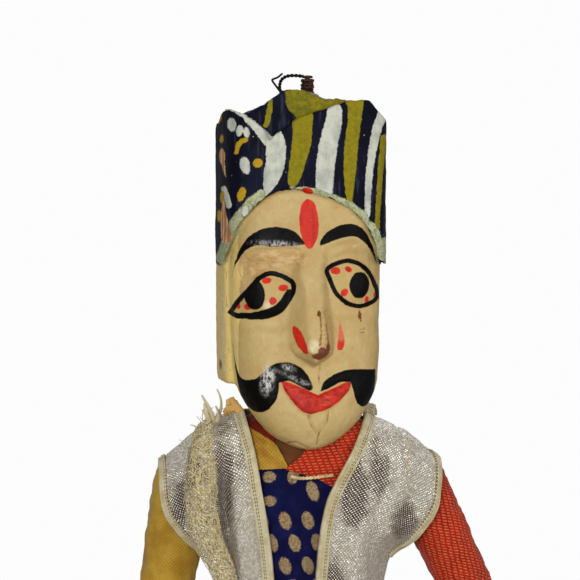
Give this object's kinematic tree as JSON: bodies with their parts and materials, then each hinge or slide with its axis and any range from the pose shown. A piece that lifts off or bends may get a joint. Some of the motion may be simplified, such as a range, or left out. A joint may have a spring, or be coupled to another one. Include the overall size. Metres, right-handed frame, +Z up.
{
  "type": "marionette puppet",
  "caption": "String puppet with a carved, painted head in a turban, stuffed jointed arms, a waistcoat and a long gored skirt, hung from a wire in its head.",
  "frame": {"origin": "the hanging wire, where it leaves the nail in the top of the turban", "axes": "+Z up, the puppet faces -Y, its right hand is on the -X side"},
  "size_m": [0.2297, 0.163, 0.5614],
  "materials": {
    "painted_wood": "carved wood, hand-painted and varnished, chipped at the edges",
    "hand_wood": "carved wood, painted and varnished",
    "rusty_iron": "rusty iron wire and nail, matt and pitted",
    "dark_wire": "dark twisted steel wire",
    "calico": "unbleached cotton, tightly stuffed",
    "brown_lining": "faded brown cotton",
    "navy_brocade": "navy cotton woven with dull gold leaves",
    "yellow_cotton": "mustard-yellow coarse cotton",
    "red_cotton": "red cotton with cream hatching",
    "silver_lame": "silver lame, woven of flat metal strip",
    "cream_braid": "cream cotton tape",
    "gold_net": "frayed gold and cream net",
    "cream_thread": "twisted cotton thread"
  },
  "bodies": {
    "trunk": {"carved_head": "painted_wood", "head_nail": "rusty_iron", "nail_binding": "rusty_iron", "hanging_wire": "dark_wire", "torso_stuffing": "calico", "neck_lining": "brown_lining", "robe_chest_panel": "navy_brocade", "robe_back_panel": "navy_brocade", "yoke_right": "yellow_cotton", "yoke_left": "red_cotton", "vest_front_right": "silver_lame", "vest_front_left": "silver_lame", "vest_back": "silver_lame", "front_braid_right": "cream_braid", "front_braid_left": "cream_braid", "net_scarf": "gold_net", "chest_tie_thread": "cream_thread", "neck_knot": "cream_thread", "back_string_loop": "cream_thread", "shoulder_lashing_right": "cream_thread", "shoulder_lashing_left": "cream_thread", "waist_sash": "red_cotton", "sash_knot": "red_cotton"},
    "shoulder_right": {"vest_shoulder_right": "silver_lame", "armhole_braid_right": "cream_braid"},
    "upper_arm_right": {"upper_arm_right": "yellow_cotton", "elbow_seam_right": "cream_thread"},
    "forearm_right": {"forearm_right": "yellow_cotton", "cuff_braid_right": "cream_braid"},
    "hand_right": {"hand_right": "hand_wood", "hand_string_loop_right": "cream_thread"},
    "shoulder_left": {"vest_shoulder_left": "silver_lame", "armhole_braid_left": "cream_braid"},
    "upper_arm_left": {"upper_arm_left": "red_cotton", "elbow_seam_left": "cream_thread"},
    "forearm_left": {"forearm_left": "red_cotton", "cuff_braid_left": "cream_braid"},
    "hand_left": {"hand_left": "hand_wood", "hand_string_loop_left": "cream_thread"},
    "skirt_waist": {"skirt_drawcord": "cream_thread"},
    "skirt": {"skirt_gore_1": "red_cotton", "skirt_gore_2": "yellow_cotton", "skirt_gore_3": "navy_brocade", "skirt_gore_4": "red_cotton", "skirt_gore_5": "red_cotton", "skirt_gore_6": "yellow_cotton", "skirt_gore_7": "navy_brocade", "skirt_gore_8": "red_cotton", "skirt_hem_braid": "cream_braid"}
  },
  "joints": [
    {"name": "shoulder_swing_right", "type": "hinge", "parent": "trunk", "child": "shoulder_right", "pos_m": [-0.051, 0, -0.174], "axis": [-1, 0, 0], "range_deg": [-35, 75]},
    {"name": "shoulder_raise_right", "type": "hinge", "parent": "shoulder_right", "child": "upper_arm_right", "pos_m": [-0.051, 0, -0.174], "axis": [0, 1, 0], "range_deg": [0, 60]},
    {"name": "elbow_right", "type": "hinge", "parent": "upper_arm_right", "child": "forearm_right", "pos_m": [-0.06101, 0, -0.23721], "axis": [-0.9877, 0, 0.1564], "range_deg": [-50, 85]},
    {"name": "wrist_right", "type": "hinge", "parent": "forearm_right", "child": "hand_right", "pos_m": [-0.06993, 0, -0.29351], "axis": [-0.9877, 0, 0.1564], "range_deg": [-30, 35]},
    {"name": "shoulder_swing_left", "type": "hinge", "parent": "trunk", "child": "shoulder_left", "pos_m": [0.051, 0, -0.174], "axis": [-1, 0, 0], "range_deg": [-35, 75]},
    {"name": "shoulder_raise_left", "type": "hinge", "parent": "shoulder_left", "child": "upper_arm_left", "pos_m": [0.051, 0, -0.174], "axis": [0, -1, 0], "range_deg": [0, 60]},
    {"name": "elbow_left", "type": "hinge", "parent": "upper_arm_left", "child": "forearm_left", "pos_m": [0.07906, 0, -0.23152], "axis": [-0.8988, 0, -0.4384], "range_deg": [-50, 85]},
    {"name": "wrist_left", "type": "hinge", "parent": "forearm_left", "child": "hand_left", "pos_m": [0.10404, 0, -0.28275], "axis": [-0.8988, 0, -0.4384], "range_deg": [-30, 35]},
    {"name": "skirt_sway", "type": "hinge", "parent": "trunk", "child": "skirt_waist", "pos_m": [0, 0, -0.266], "axis": [0, 1, 0], "range_deg": [-9, 9]},
    {"name": "skirt_swing", "type": "hinge", "parent": "skirt_waist", "child": "skirt", "pos_m": [0, 0, -0.266], "axis": [1, 0, 0], "range_deg": [-15, 15]}
  ]
}
